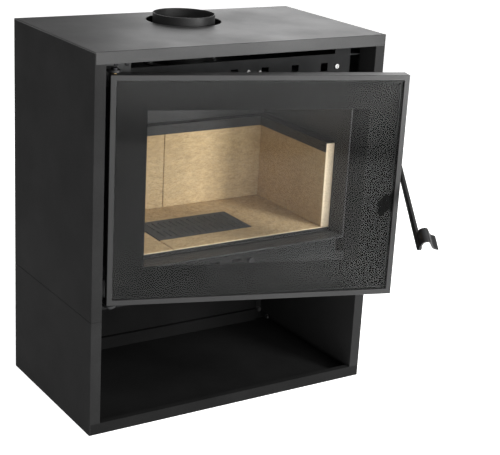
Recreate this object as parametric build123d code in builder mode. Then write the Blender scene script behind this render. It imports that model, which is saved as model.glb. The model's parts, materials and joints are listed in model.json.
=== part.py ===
from build123d import *
from math import cos, radians, sin
import os

# Convector wood stove: steel casing on a log-store base, vermiculite-lined firebox, glazed door.
# Millimetres, +Z up, +X to the stove's right as seen from the room, +Y to the wall.
# Origin: centre of the base's underside. The door is drawn ajar and its lever swung out.

# Casing
WIDTH = 750.0
DEPTH = 422.0
HEIGHT = 870.0
SHEET = 3.0
BAND = 26.5  # width of the folded front edge all round
RETURN_DEPTH = 61.0  # the band's inner return, back from the front
SEAM_Z = 273.0  # joint between the log-store base and the upper casing
SILL_LIP = 15.0  # depth of the return on top of the base's front band
SHELF_T = 2.0  # casing floor
EDGE_R = 1.5
OVERRUN = 1.0  # how far a cutting body passes a face
NEAR = 0.1  # half width of the window that picks edges by their position
SEAM_EASE = 0.7  # bevel on the outer edges either side of the joint
FLOOR_RAIL_X = 330.0
FLOOR_RAIL_H = 33.0
FLOOR_RAIL_GAP = 5.0  # from the rail's web to the back panel
FLOOR_RAIL_LIP = 3.0  # overhang of its top flange
CORNER_FLANGE = 16.0  # width of the flange down each rear corner of the log store
BOLT_R = 6.5
BOLT_H = 5.0
SIDE_BOLT = (169.0, 22.0)  # y, z
BACK_BOLT = (341.0, 32.0)  # x either side, z
REAR_SLOTS = 10
REAR_SLOT = (46.0, 8.0)
REAR_SLOT_PITCH = (62.0, 24.0)
REAR_SLOT_Z = 330.0

# Flue
FLUE_Y = 85.5
FLUE_R = 74.0  # spigot for a 150 mm flue pipe
FLUE_WALL = 4.2
FLUE_TOP_Z = 887.0
RIM_EDGE_R = 1.0
RIM_STEP = (2.0, 3.0)  # width and depth of the step inside the spigot's rim
FLUE_HOLE_R = 89.5
FLUE_FLANGE_R = 97.0
FLUE_FLANGE = 4.0
COLLAR_SCREW_R = 86.0
COLLAR_SCREWS = 6
COLLAR_HOLE_R = 3.2
COLLAR_BOLT_R = 3.0
COLLAR_HEAD = (5.6, 4.0)

# Firebox
PLATE = 5.0
BOX_X = 308.5  # inner half width
BOX_BACK_Y = 183.0
BOX_FLOOR_Z = 359.0
BOX_ROOF_Z = 764.0
PANEL_Y = -150.0  # front face of the firebox front panel
PANEL_X = 321.4
PANEL_Z0 = 320.0
PANEL_Z1 = 818.0
MOUTH_Z0 = 375.0
MOUTH_Z1 = 750.0
LIP = 4.0
LIP_Y = -189.5
LIP_EDGE_R = 1.2
BRICK = 25.0
BRICK_TOP_Z = 596.0
BRICK_FRONT_Y = -134.0
BRICK_EDGE = 1.5
BRICK_GAP = 0.2
BOARD_JOINT = 1.4  # open joint between the back boards
FLOOR_JOINT = 2.8  # open joint between the floor boards
SILL_SHY = 1.5  # the sill's upturned edge stops this far below the floor boards' top
RAIL = 2.0
RAIL_DROP = 22.0
RAIL_END_GAP = 0.5  # between the rear rail and the side rails
VENTS = 7
VENT_PITCH = 82.5
VENT_W = 19.5
VENT_Z0 = 778.0
VENT_Z1 = 798.0
EAR_X = 276.5  # the panel's top corners stand higher outside this
EAR_Z = 838.0
PANEL_SCREWS = ((283.0, 788.5),)
SMALL_SCREWS = ((37.0, 791.5), (67.5, 788.0))
HEAD = (6.6, 3.8, 1.8)  # radius, height and edge radius of a screw's head
SMALL_HEAD = (4.4, 2.8, 1.3)
SCREW_R = 2.5
SCREW_HOLE_R = 2.8
SCREW_L = 9.0
CROSS_W = 1.3
CROSS_D = 1.4
TIE_Z0 = 786.0
TIE_Z1 = 815.0
TIE_D = 26.0
TIE_LAP = 24.0
BAFFLE_Z = 700.0
BAFFLE_T = 20.0
BAFFLE_X = 306.0
BAFFLE_FRONT_Y = -70.0
BAFFLE_REAR_GAP = 1.0
BAFFLE_ANGLE = 22.0
DUCT_X = 302.5
DUCT_Z0 = 745.0
DUCT_Y = (-139.0, -116.0)
DUCT_T = 2.0
STAND_X = 310.0
STAND_W = 30.0
STAND_INSET = 10.0

# Grate and ash
GRATE_X = 128.0
GRATE_Y0 = -63.5
GRATE_Y1 = 69.3
GRATE_T = 12.0
LEDGE = 15.5  # width of the ledge that the grate rests on
LOOSE = 1.0  # loose fit of the grate in the brick floor
GRATE_R = 1.2
GRATE_SLOT = (46.0, 5.0)
GRATE_SLOT_PITCH = (16.0, 56.0)
GRATE_SLOTS = (14, 2)
LIFT_GAP = 0.2  # air under the pieces that lift out
ASH_BOX_Z0 = 305.0
ASH_BOX_ROOM = (5.0, 8.0)  # from the hatch's edge out to the ash box's inside and outside
PAN_ROOM = 4.0  # from the hatch's edge in to the ash pan
PAN_Z1 = 350.0
PAN_WALL = 1.5
TROUGH_X = 112.0
TROUGH_Z = 324.0
TROUGH_T = 2.0
TROUGH_DOOR_X = 90.0  # half width of the way from the trough into the ash box
TROUGH_DOOR_Z = (328.0, 350.0)

# Primary air slide
AIR_Z = 340.0
AIR_SLOT_X = (-90.0, -30.0, 30.0)
AIR_SLOT_W = 28.0
AIR_SLOT_H = 8.0
AIR_KNOB_X = 62.0
SLIDER_X = 120.0
SLIDER_H = 20.0
SLIDER_GAP = 0.4
GUIDE_X = 135.0
GUIDE_H = 5.0
GUIDE_LAP = 3.0
GUIDE_PLAY = 0.6
KNOB_R = 8.0
KNOB_L = 9.0
KNOB_EDGE_R = 2.0
KNOB_STEM_R = 3.5
KNOB_STEM_L = 8.0

# Door, in its own axes: s along its width from the hinge side, d inwards from its front face
DOOR_W = 660.0
DOOR_T = 32.0
DOOR_Z0 = 306.0
DOOR_Z1 = 819.0
DOOR_RIM = 12.0
DOOR_EDGE_R = 1.0
DOOR_AJAR = 18.0
HINGE_WALL_T = 24.0  # the hinge-side wall is shallower, to clear the mouth as the door swings
GLASS_FIT = 2.0
GLASS_T = 4.0
PRINT_T = 0.4
TAPE_T = 2.0
TAPE_W = 12.0
WINDOW = (81.0, 575.5, 392.0, 742.2)  # clear glass: s from, s to, z from, z to
FRAME_INSIDE = (34.0, 626.0, 386.0, 743.0)
ROPE_W = 10.0
ROPE_D = 8.6
ROPE_R = 3.5
ROPE_RIB = (2.0, 5.0)  # thickness and depth of the ribs each side of the rope
CLIP_Z = (400.0, 520.0, 720.0)
CLIP_S = (120.0, 330.0, 540.0)
CLIP_HALF = 12.0
CLIP_TOE = 8.0
CLIP_LONG_TOE = 14.0
CLIP_T = 2.0
HINGE_S = 10.7
HINGE_D = 21.4
PIN_R = 4.0
BUSH_R = 6.0
BUSH_PROUD = 0.5
FLANGE_R = 7.4
EAR_T = 5.0  # hinge bracket
EAR_R = 13.0
TOP_EAR_Z = 822.0
LOW_EAR_Z = 296.0
TOP_FLANGE_Z0 = 782.0
LOW_FLANGE_Z1 = 345.0
HINGE_FLANGE_X = -262.0
TOP_HINGE_SCREWS = ((-297.0, 829.0), (-271.0, 828.0), (-283.0, 790.0))
LOW_HINGE_SCREWS = ((-297.0, 334.0), (-271.0, 334.0))
PIN_HEAD = (7.0, 4.0)
TOP_PIN_Z0 = 808.0
LOW_PIN_L = 24.0
LOW_SHOULDER = (8.0, 4.2)
RUN = 0.05  # radial clearance of a running fit

# Lever and latch
LEVER_OUT = 49.0  # degrees that the lever stands out from hanging straight down
LATCHED = 24.0  # the same when the hook is behind the keeper
PIVOT_D = 48.0
PIVOT_Z = 610.0
SHAFT_R = 5.0
LEVER_S = 666.0
LEVER_T = 6.0
LEVER_L = 232.0
LEVER_HUB_R = 11.0
LEVER_TOP = 8.0  # half width of the bar at its hub
TIP_R = 10.0
GRIP_T = 3.6
GRIP_H = 35.0
GRIP_END = 3.0  # from the grip's lower end to the bar's tip
GRIP_FOOT = 6.0  # the grip's sheet starts this far up the bar
GRIP_RISE = 20.0
CREST_R = 9.0
CREST_TURN = 150.0
GRIP_FALL = 22.0
SWEEP_R = 25.0
SWEEP_TURN = -35.0
GRIP_TAIL = 7.0
HOOK_S = 660.5
HOOK_T = 5.0
HOOK_HUB_R = 9.0
SHAFT_FROM_S = 644.6
NUT_R = 8.0
NUT_T = 3.0
SHAFT_HEAD = (8.0, 3.4)
LATCH_EYE_R = 13.0
BOSS_R = 9.0
BOSS_L = 12.0
KEEPER = (314.0, 336.0, 616.0, 642.0)
KEEPER_R = 3.0
HOOK_SHAPE = ((0, 2), (22, 2), (22, 12), (24.5, 15), (30, 15), (30, -4), (24, -9), (0, -9))
PLATE_FROM = 1.0  # from the inner frame to the latch bracket's plate

# Worked-out sizes
HALF_W = WIDTH / 2
FRONT_Y = -DEPTH / 2
BACK_Y = DEPTH / 2
OPEN_X = HALF_W - BAND
TOP_OPEN_Z = HEIGHT - BAND
TOP_PLATE_Z = HEIGHT - SHEET
RETURN_Y = FRONT_Y + RETURN_DEPTH
PANEL_BACK_Y = PANEL_Y + SHEET
BOX_OUT_X = BOX_X + PLATE
BRICK_X = BOX_X - BRICK - BRICK_GAP
FLOOR_TOP_Z = BOX_FLOOR_Z + BRICK
BRICK_BACK_Y = BOX_BACK_Y - BRICK
GRATE_MID_Y = (GRATE_Y0 + GRATE_Y1) / 2
GRATE_W = 2 * (GRATE_X - LOOSE)
GRATE_L = GRATE_Y1 - GRATE_Y0 - 2 * LOOSE
GRATE_Z = FLOOR_TOP_Z - GRATE_T
HATCH = (-GRATE_X + LEDGE, GRATE_X - LEDGE, GRATE_Y0 + LEDGE, GRATE_Y1 - LEDGE)
BOX_UNDER_Z = BOX_FLOOR_Z - PLATE
DOOR_OUTLINE = (0.0, DOOR_W, DOOR_Z0, DOOR_Z1)
DOOR_MID_Z = (DOOR_Z0 + DOOR_Z1) / 2
HINGE_X = -DOOR_W / 2 + HINGE_S
HINGE_Y = FRONT_Y + HINGE_D
GLASS_D = SHEET
PRINT_D = GLASS_D + GLASS_T
TAPE_D = PRINT_D + PRINT_T
FRAME_D = TAPE_D + TAPE_T
ROPE_FROM_D = FRAME_D + SHEET

# The door's planes at the ajar angle, about its hinge
AJAR = radians(DOOR_AJAR)
ALONG = Vector(cos(AJAR), -sin(AJAR), 0)
INWARD = Vector(sin(AJAR), cos(AJAR), 0)
UP = Vector(0, 0, 1)
CORNER = Vector(HINGE_X, HINGE_Y, 0) - ALONG * HINGE_S - INWARD * HINGE_D
DOOR = Plane(origin=CORNER, x_dir=ALONG, z_dir=UP)
FACE = Plane(origin=CORNER, x_dir=ALONG, z_dir=-INWARD)

# The lever's axes: inwards and up when the lever hangs straight down
OUT = radians(LEVER_OUT)
PIVOT = CORNER + INWARD * PIVOT_D + UP * PIVOT_Z
LEVER_IN = INWARD * cos(OUT) - UP * sin(OUT)
LEVER_UP = INWARD * sin(OUT) + UP * cos(OUT)
HOOK_DOWN = radians(LEVER_OUT - LATCHED)
HOOK_IN = INWARD * cos(HOOK_DOWN) - UP * sin(HOOK_DOWN)


def block(x0, x1, y0, y1, z0, z1, mode=Mode.ADD):
    """A box between two limits on each axis of the part being built."""
    with Locations(((x0 + x1) / 2, (y0 + y1) / 2, (z0 + z1) / 2)):
        Box(x1 - x0, y1 - y0, z1 - z0, mode=mode)


def grown(outline, by):
    """A (from, to, from, to) outline moved outwards on all sides."""
    return (outline[0] - by, outline[1] + by, outline[2] - by, outline[3] + by)


def framed(plane, outer, inner, thickness):
    """A flat frame between two (from, to, from, to) outlines on a plane."""
    with BuildSketch(plane) as flat:
        with Locations(((outer[0] + outer[1]) / 2, (outer[2] + outer[3]) / 2)):
            Rectangle(outer[1] - outer[0], outer[3] - outer[2])
        with Locations(((inner[0] + inner[1]) / 2, (inner[2] + inner[3]) / 2)):
            Rectangle(inner[1] - inner[0], inner[3] - inner[2], mode=Mode.SUBTRACT)
    extrude(flat.sketch, amount=thickness)


def disc(plane, radius, thickness, mode=Mode.ADD):
    """A round plate, boss or hole on a plane."""
    with BuildSketch(plane) as flat:
        Circle(radius)
    extrude(flat.sketch, amount=thickness, mode=mode)


def side_panel(sign, z0, z1, band_z0, band_z1, return_y):
    """A folded side: outer wall, front band and inner return."""
    wall = sorted((sign * HALF_W, sign * (HALF_W - SHEET)))
    band = sorted((sign * (HALF_W - SHEET), sign * OPEN_X))
    inner = sorted((sign * (OPEN_X + SHEET), sign * OPEN_X))
    block(*wall, FRONT_Y, BACK_Y, z0, z1)
    block(*band, FRONT_Y, FRONT_Y + SHEET, band_z0, band_z1)
    block(*inner, FRONT_Y + SHEET, return_y, band_z0, band_z1)


def corner_flange(sign):
    """The flange down a rear corner of the log store, against the back panel."""
    across = sorted((sign * OPEN_X, sign * (OPEN_X - CORNER_FLANGE)))
    block(*across, BACK_Y - 2 * SHEET, BACK_Y - SHEET, BAND, SEAM_Z)


def band_edges(part):
    """The two folded vertical edges of a side's front band."""
    upright = part.edges().filter_by(Axis.Z).group_by(Axis.Y)[0].sort_by(Axis.X)
    return [upright[0], upright[-1]]


def seam_edge(part, sign):
    """The outer edge of a side at the joint between the base and the upper casing."""
    at_seam = part.edges().filter_by(Axis.Y).filter_by_position(Axis.Z, SEAM_Z - NEAR, SEAM_Z + NEAR)
    return at_seam.sort_by(Axis.X)[-1 if sign > 0 else 0]


def brick_edges(part):
    """Every edge of a plain board."""
    return part.edges().filter_by(GeomType.LINE)


def lever_plane(s):
    """The plane across the lever's shaft at s along the door."""
    return Plane(origin=PIVOT + ALONG * s, x_dir=LEVER_IN, z_dir=ALONG)


os.makedirs("parts", exist_ok=True)

# ---------------------------------------------------------------- upper casing

with BuildPart() as top_panel:
    with BuildSketch(Plane.XY.offset(TOP_PLATE_Z)):
        Rectangle(WIDTH, DEPTH)
        with Locations((0, FLUE_Y)):
            Circle(FLUE_HOLE_R, mode=Mode.SUBTRACT)
    extrude(amount=SHEET)
    fillet(top_panel.edges().filter_by(GeomType.LINE).group_by(Axis.Z)[-1], radius=EDGE_R)
    block(-HALF_W + SHEET, HALF_W - SHEET, FRONT_Y, FRONT_Y + SHEET, TOP_OPEN_Z, TOP_PLATE_Z)
    block(-OPEN_X, OPEN_X, FRONT_Y + SHEET, RETURN_Y, TOP_OPEN_Z, TOP_OPEN_Z + SHEET)
top_panel.part.label = "top_panel"
export_step(top_panel.part, "parts/top_panel.step")

with BuildPart() as left_side_panel:
    side_panel(-1, SEAM_Z, TOP_PLATE_Z, SEAM_Z, TOP_OPEN_Z, RETURN_Y)
    fillet(band_edges(left_side_panel), radius=EDGE_R)
    chamfer(seam_edge(left_side_panel, -1), SEAM_EASE)
left_side_panel.part.label = "left_side_panel"
export_step(left_side_panel.part, "parts/left_side_panel.step")

with BuildPart() as right_side_panel:
    side_panel(1, SEAM_Z, TOP_PLATE_Z, SEAM_Z, TOP_OPEN_Z, RETURN_Y)
    fillet(band_edges(right_side_panel), radius=EDGE_R)
    chamfer(seam_edge(right_side_panel, 1), SEAM_EASE)
right_side_panel.part.label = "right_side_panel"
export_step(right_side_panel.part, "parts/right_side_panel.step")

with BuildPart() as rear_panel:
    block(-HALF_W + SHEET, HALF_W - SHEET, BACK_Y - SHEET, BACK_Y, SEAM_Z, TOP_PLATE_Z)
    with BuildSketch(Plane.XZ.offset(-BACK_Y)):
        with Locations((0, REAR_SLOT_Z)):
            with GridLocations(REAR_SLOT_PITCH[0], REAR_SLOT_PITCH[1], REAR_SLOTS, 2):
                SlotOverall(REAR_SLOT[0], REAR_SLOT[1])
    extrude(amount=SHEET, mode=Mode.SUBTRACT)
rear_panel.part.label = "rear_panel"
export_step(rear_panel.part, "parts/rear_panel.step")

# The casing floor closes the log store's ceiling and turns up in front as a fascia
with BuildPart() as casing_floor:
    block(-HALF_W + SHEET, HALF_W - SHEET, PANEL_Y, BACK_Y - SHEET, SEAM_Z, SEAM_Z + SHELF_T)
    block(-OPEN_X, OPEN_X, PANEL_Y, PANEL_Y + SHELF_T, SEAM_Z + SHELF_T, PANEL_Z0)
casing_floor.part.label = "casing_floor"
export_step(casing_floor.part, "parts/casing_floor.step")

# ---------------------------------------------------------------- log-store base

with BuildPart() as base_left_side:
    side_panel(-1, 0, SEAM_Z, BAND, SEAM_Z, BACK_Y - SHEET)
    corner_flange(-1)
    fillet(band_edges(base_left_side), radius=EDGE_R)
    chamfer(seam_edge(base_left_side, -1), SEAM_EASE)
base_left_side.part.label = "base_left_side"
export_step(base_left_side.part, "parts/base_left_side.step")

with BuildPart() as base_right_side:
    side_panel(1, 0, SEAM_Z, BAND, SEAM_Z, BACK_Y - SHEET)
    corner_flange(1)
    fillet(band_edges(base_right_side), radius=EDGE_R)
    chamfer(seam_edge(base_right_side, 1), SEAM_EASE)
base_right_side.part.label = "base_right_side"
export_step(base_right_side.part, "parts/base_right_side.step")

with BuildPart() as base_floor:
    block(-HALF_W + SHEET, HALF_W - SHEET, FRONT_Y, BACK_Y - SHEET, 0, SHEET)
    block(-HALF_W + SHEET, HALF_W - SHEET, FRONT_Y, FRONT_Y + SHEET, SHEET, BAND)
    block(-OPEN_X, OPEN_X, FRONT_Y + SHEET, FRONT_Y + SILL_LIP, BAND - SHEET, BAND)
base_floor.part.label = "base_floor"
export_step(base_floor.part, "parts/base_floor.step")

with BuildPart() as base_back_panel:
    block(-HALF_W + SHEET, HALF_W - SHEET, BACK_Y - SHEET, BACK_Y, 0, SEAM_Z)
base_back_panel.part.label = "base_back_panel"
export_step(base_back_panel.part, "parts/base_back_panel.step")

with BuildPart() as base_rear_rail:
    rail_z1 = SHEET + FLOOR_RAIL_H
    web_y1 = BACK_Y - SHEET - FLOOR_RAIL_GAP
    flange_y0 = web_y1 - SHEET - FLOOR_RAIL_LIP
    block(-FLOOR_RAIL_X, FLOOR_RAIL_X, web_y1 - SHEET, web_y1, SHEET, rail_z1)
    block(-FLOOR_RAIL_X, FLOOR_RAIL_X, flange_y0, BACK_Y - SHEET, rail_z1 - SHEET, rail_z1)
base_rear_rail.part.label = "base_rear_rail"
export_step(base_rear_rail.part, "parts/base_rear_rail.step")

# Hexagon heads at the log store's rear corners
with BuildPart() as base_bolts:
    for sign in (-1, 1):
        with BuildSketch(Plane(origin=(sign * OPEN_X, *SIDE_BOLT), z_dir=(-sign, 0, 0))):
            RegularPolygon(BOLT_R, 6)
        extrude(amount=BOLT_H)
        back_place = (sign * BACK_BOLT[0], BACK_Y - 2 * SHEET, BACK_BOLT[1])
        with BuildSketch(Plane(origin=back_place, z_dir=(0, -1, 0))):
            RegularPolygon(BOLT_R, 6)
        extrude(amount=BOLT_H)
base_bolts.part.label = "base_bolts"
export_step(base_bolts.part, "parts/base_bolts.step")

# ---------------------------------------------------------------- firebox shell

with BuildPart() as firebox_left_side:
    block(-BOX_OUT_X, -BOX_X, PANEL_BACK_Y, BOX_BACK_Y, BOX_UNDER_Z, BOX_ROOF_Z)
firebox_left_side.part.label = "firebox_left_side"
export_step(firebox_left_side.part, "parts/firebox_left_side.step")

with BuildPart() as firebox_right_side:
    block(BOX_X, BOX_OUT_X, PANEL_BACK_Y, BOX_BACK_Y, BOX_UNDER_Z, BOX_ROOF_Z)
firebox_right_side.part.label = "firebox_right_side"
export_step(firebox_right_side.part, "parts/firebox_right_side.step")

with BuildPart() as firebox_back:
    block(-BOX_OUT_X, BOX_OUT_X, BOX_BACK_Y, BOX_BACK_Y + PLATE, BOX_UNDER_Z, BOX_ROOF_Z)
firebox_back.part.label = "firebox_back"
export_step(firebox_back.part, "parts/firebox_back.step")

with BuildPart() as firebox_bottom:
    framed(Plane.XY.offset(BOX_UNDER_Z), (-BOX_X, BOX_X, PANEL_BACK_Y, BOX_BACK_Y), HATCH, PLATE)
firebox_bottom.part.label = "firebox_bottom"
export_step(firebox_bottom.part, "parts/firebox_bottom.step")

with BuildPart() as firebox_top:
    roof_mid_y = (PANEL_BACK_Y + BOX_BACK_Y + PLATE) / 2
    with BuildSketch(Plane.XY.offset(BOX_ROOF_Z)):
        with Locations((0, roof_mid_y)):
            Rectangle(2 * BOX_OUT_X, BOX_BACK_Y + PLATE - PANEL_BACK_Y)
        with Locations((0, FLUE_Y)):
            Circle(FLUE_R - FLUE_WALL, mode=Mode.SUBTRACT)
            with PolarLocations(COLLAR_SCREW_R, COLLAR_SCREWS):
                Circle(COLLAR_HOLE_R, mode=Mode.SUBTRACT)
    extrude(amount=PLATE)
firebox_top.part.label = "firebox_top"
export_step(firebox_top.part, "parts/firebox_top.step")

# The front panel has the mouth, the convection vents above it and the primary air slots below
with BuildPart() as firebox_front_panel:
    with BuildSketch(Plane.XZ.offset(-PANEL_Y)):
        with Locations((0, (PANEL_Z0 + PANEL_Z1) / 2)):
            Rectangle(2 * PANEL_X, PANEL_Z1 - PANEL_Z0)
        for sign in (-1, 1):
            with Locations((sign * (EAR_X + PANEL_X) / 2, (PANEL_Z1 + EAR_Z) / 2)):
                Rectangle(PANEL_X - EAR_X, EAR_Z - PANEL_Z1)
        with Locations((0, (MOUTH_Z0 + MOUTH_Z1) / 2)):
            Rectangle(2 * (BOX_X + LIP), MOUTH_Z1 - MOUTH_Z0 + 2 * LIP, mode=Mode.SUBTRACT)
        with Locations((0, (VENT_Z0 + VENT_Z1) / 2)):
            with GridLocations(VENT_PITCH, 1, VENTS, 1):
                Rectangle(VENT_W, VENT_Z1 - VENT_Z0, mode=Mode.SUBTRACT)
        with Locations(*[(x, AIR_Z) for x in AIR_SLOT_X]):
            Rectangle(AIR_SLOT_W, AIR_SLOT_H, mode=Mode.SUBTRACT)
        with Locations(*PANEL_SCREWS, *SMALL_SCREWS, *TOP_HINGE_SCREWS, *LOW_HINGE_SCREWS):
            Circle(SCREW_HOLE_R, mode=Mode.SUBTRACT)
    extrude(amount=-SHEET)
firebox_front_panel.part.label = "firebox_front_panel"
export_step(firebox_front_panel.part, "parts/firebox_front_panel.step")


def cross_screws(screws, seat_y, places, head):
    """Cross-headed screws that sit on a face of the panel or of a bracket and point to the rear."""
    radius, height, edge_r = head
    head_y = seat_y - height
    with BuildSketch(Plane.XZ.offset(-seat_y)) as heads:
        with Locations(*places):
            Circle(radius)
    with BuildSketch(Plane.XZ.offset(-seat_y)) as shanks:
        with Locations(*places):
            Circle(SCREW_R)
    with BuildSketch(Plane.XZ.offset(-head_y)) as crosses:
        with Locations(*places):
            Rectangle(radius, CROSS_W)
            Rectangle(CROSS_W, radius)
    extrude(heads.sketch, amount=height)
    rims = screws.edges().filter_by(GeomType.CIRCLE)
    fillet(rims.filter_by_position(Axis.Y, head_y - NEAR, head_y + NEAR), radius=edge_r)
    extrude(shanks.sketch, amount=-SCREW_L)
    extrude(crosses.sketch, amount=-CROSS_D, mode=Mode.SUBTRACT)


with BuildPart() as panel_screws:
    cross_screws(panel_screws, PANEL_Y, PANEL_SCREWS, HEAD)
    cross_screws(panel_screws, PANEL_Y, SMALL_SCREWS, SMALL_HEAD)
panel_screws.part.label = "panel_screws"
export_step(panel_screws.part, "parts/panel_screws.step")

with BuildPart() as hinge_screws:
    hinge_places = TOP_HINGE_SCREWS + LOW_HINGE_SCREWS
    cross_screws(hinge_screws, PANEL_Y - SHEET, hinge_places, SMALL_HEAD)
hinge_screws.part.label = "hinge_screws"
export_step(hinge_screws.part, "parts/hinge_screws.step")

with BuildPart() as mouth_frame:
    mouth = (-BOX_X, BOX_X, MOUTH_Z0, MOUTH_Z1)
    framed(Plane.XZ.offset(-LIP_Y), grown(mouth, LIP), mouth, LIP_Y - PANEL_BACK_Y)
    fillet(mouth_frame.edges().group_by(Axis.Y)[0], radius=LIP_EDGE_R)
mouth_frame.part.label = "mouth_frame"
export_step(mouth_frame.part, "parts/mouth_frame.step")

with BuildPart() as sill_plate:
    block(-BOX_X, BOX_X, PANEL_BACK_Y, BRICK_FRONT_Y, MOUTH_Z0 - SHEET, MOUTH_Z0)
    block(-BOX_X, BOX_X, BRICK_FRONT_Y - SHEET, BRICK_FRONT_Y, BOX_FLOOR_Z, FLOOR_TOP_Z - SILL_SHY)
sill_plate.part.label = "sill_plate"
export_step(sill_plate.part, "parts/sill_plate.step")

# Channels that carry the firebox on the casing floor
with BuildPart() as support_rails:
    for sign in (-1, 1):
        web = sorted((sign * STAND_X, sign * (STAND_X - SHEET)))
        foot = sorted((sign * STAND_X, sign * (STAND_X - STAND_W)))
        stand_z0 = SEAM_Z + SHELF_T
        along = (PANEL_Y + STAND_INSET, BOX_BACK_Y)
        block(*web, *along, stand_z0, BOX_UNDER_Z)
        block(*foot, *along, stand_z0, stand_z0 + SHEET)
        block(*foot, *along, BOX_UNDER_Z - SHEET, BOX_UNDER_Z)
support_rails.part.label = "support_rails"
export_step(support_rails.part, "parts/support_rails.step")

# Angles between the front panel's top corners and the casing's sides
with BuildPart() as panel_ties:
    for sign in (-1, 1):
        arm = sorted((sign * (PANEL_X - TIE_LAP), sign * (HALF_W - SHEET)))
        foot = sorted((sign * (HALF_W - 2 * SHEET), sign * (HALF_W - SHEET)))
        block(*arm, PANEL_BACK_Y, PANEL_BACK_Y + TIE_D, TIE_Z1 - SHEET, TIE_Z1)
        block(*foot, PANEL_BACK_Y, PANEL_BACK_Y + TIE_D, TIE_Z0, TIE_Z1 - SHEET)
panel_ties.part.label = "panel_ties"
export_step(panel_ties.part, "parts/panel_ties.step")

# ---------------------------------------------------------------- flue collar

with BuildPart() as flue_collar:
    flange = Plane.XY.offset(BOX_ROOF_Z + PLATE)
    with BuildSketch(flange):
        with Locations((0, FLUE_Y)):
            Circle(FLUE_FLANGE_R)
            with PolarLocations(COLLAR_SCREW_R, COLLAR_SCREWS):
                Circle(COLLAR_HOLE_R, mode=Mode.SUBTRACT)
    extrude(amount=FLUE_FLANGE)
    with BuildSketch(flange):
        with Locations((0, FLUE_Y)):
            Circle(FLUE_R)
    extrude(amount=FLUE_TOP_Z - BOX_ROOF_Z - PLATE)
    with BuildSketch(flange):
        with Locations((0, FLUE_Y)):
            Circle(FLUE_R - FLUE_WALL)
    extrude(amount=FLUE_TOP_Z - BOX_ROOF_Z - PLATE, mode=Mode.SUBTRACT)
    fillet(flue_collar.edges().group_by(Axis.Z)[-1], radius=RIM_EDGE_R)
    with BuildSketch(Plane.XY.offset(FLUE_TOP_Z - RIM_STEP[1])):
        with Locations((0, FLUE_Y)):
            Circle(FLUE_R - FLUE_WALL + RIM_STEP[0])
    extrude(amount=RIM_STEP[1], mode=Mode.SUBTRACT)
flue_collar.part.label = "flue_collar"
export_step(flue_collar.part, "parts/flue_collar.step")

with BuildPart() as collar_screws:
    with BuildSketch(Plane.XY.offset(BOX_ROOF_Z + PLATE + FLUE_FLANGE)):
        with Locations((0, FLUE_Y)):
            with PolarLocations(COLLAR_SCREW_R, COLLAR_SCREWS):
                RegularPolygon(COLLAR_HEAD[0], 6)
    extrude(amount=COLLAR_HEAD[1])
    with BuildSketch(Plane.XY.offset(BOX_ROOF_Z)):
        with Locations((0, FLUE_Y)):
            with PolarLocations(COLLAR_SCREW_R, COLLAR_SCREWS):
                Circle(COLLAR_BOLT_R)
    extrude(amount=PLATE + FLUE_FLANGE)
collar_screws.part.label = "collar_screws"
export_step(collar_screws.part, "parts/collar_screws.step")

# ---------------------------------------------------------------- vermiculite lining

with BuildPart() as brick_floor_left:
    block(-BOX_X, -GRATE_X - FLOOR_JOINT, BRICK_FRONT_Y, BOX_BACK_Y, BOX_FLOOR_Z, FLOOR_TOP_Z)
    chamfer(brick_edges(brick_floor_left), BRICK_EDGE)
brick_floor_left.part.label = "brick_floor_left"
export_step(brick_floor_left.part, "parts/brick_floor_left.step")

# The main floor board is notched for the grate
with BuildPart() as brick_floor_main:
    block(-GRATE_X, BOX_X, BRICK_FRONT_Y, BOX_BACK_Y, BOX_FLOOR_Z, FLOOR_TOP_Z)
    block(-GRATE_X, GRATE_X, GRATE_Y0, GRATE_Y1, BOX_FLOOR_Z, FLOOR_TOP_Z, mode=Mode.SUBTRACT)
    chamfer(brick_floor_main.edges().group_by(Axis.Z)[-1], BRICK_EDGE)
brick_floor_main.part.label = "brick_floor_main"
export_step(brick_floor_main.part, "parts/brick_floor_main.step")

with BuildPart() as brick_side_left:
    block(-BRICK_X - BRICK, -BRICK_X, BRICK_FRONT_Y, BRICK_BACK_Y, FLOOR_TOP_Z, BRICK_TOP_Z)
    chamfer(brick_edges(brick_side_left), BRICK_EDGE)
brick_side_left.part.label = "brick_side_left"
export_step(brick_side_left.part, "parts/brick_side_left.step")

with BuildPart() as brick_side_right:
    block(BRICK_X, BRICK_X + BRICK, BRICK_FRONT_Y, BRICK_BACK_Y, FLOOR_TOP_Z, BRICK_TOP_Z)
    chamfer(brick_edges(brick_side_right), BRICK_EDGE)
brick_side_right.part.label = "brick_side_right"
export_step(brick_side_right.part, "parts/brick_side_right.step")

with BuildPart() as brick_back_left:
    block(-BRICK_X - BRICK, -BOARD_JOINT / 2, BRICK_BACK_Y, BOX_BACK_Y, FLOOR_TOP_Z, BRICK_TOP_Z)
    chamfer(brick_edges(brick_back_left), BRICK_EDGE)
brick_back_left.part.label = "brick_back_left"
export_step(brick_back_left.part, "parts/brick_back_left.step")

with BuildPart() as brick_back_right:
    block(BOARD_JOINT / 2, BRICK_X + BRICK, BRICK_BACK_Y, BOX_BACK_Y, FLOOR_TOP_Z, BRICK_TOP_Z)
    chamfer(brick_edges(brick_back_right), BRICK_EDGE)
brick_back_right.part.label = "brick_back_right"
export_step(brick_back_right.part, "parts/brick_back_right.step")

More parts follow.
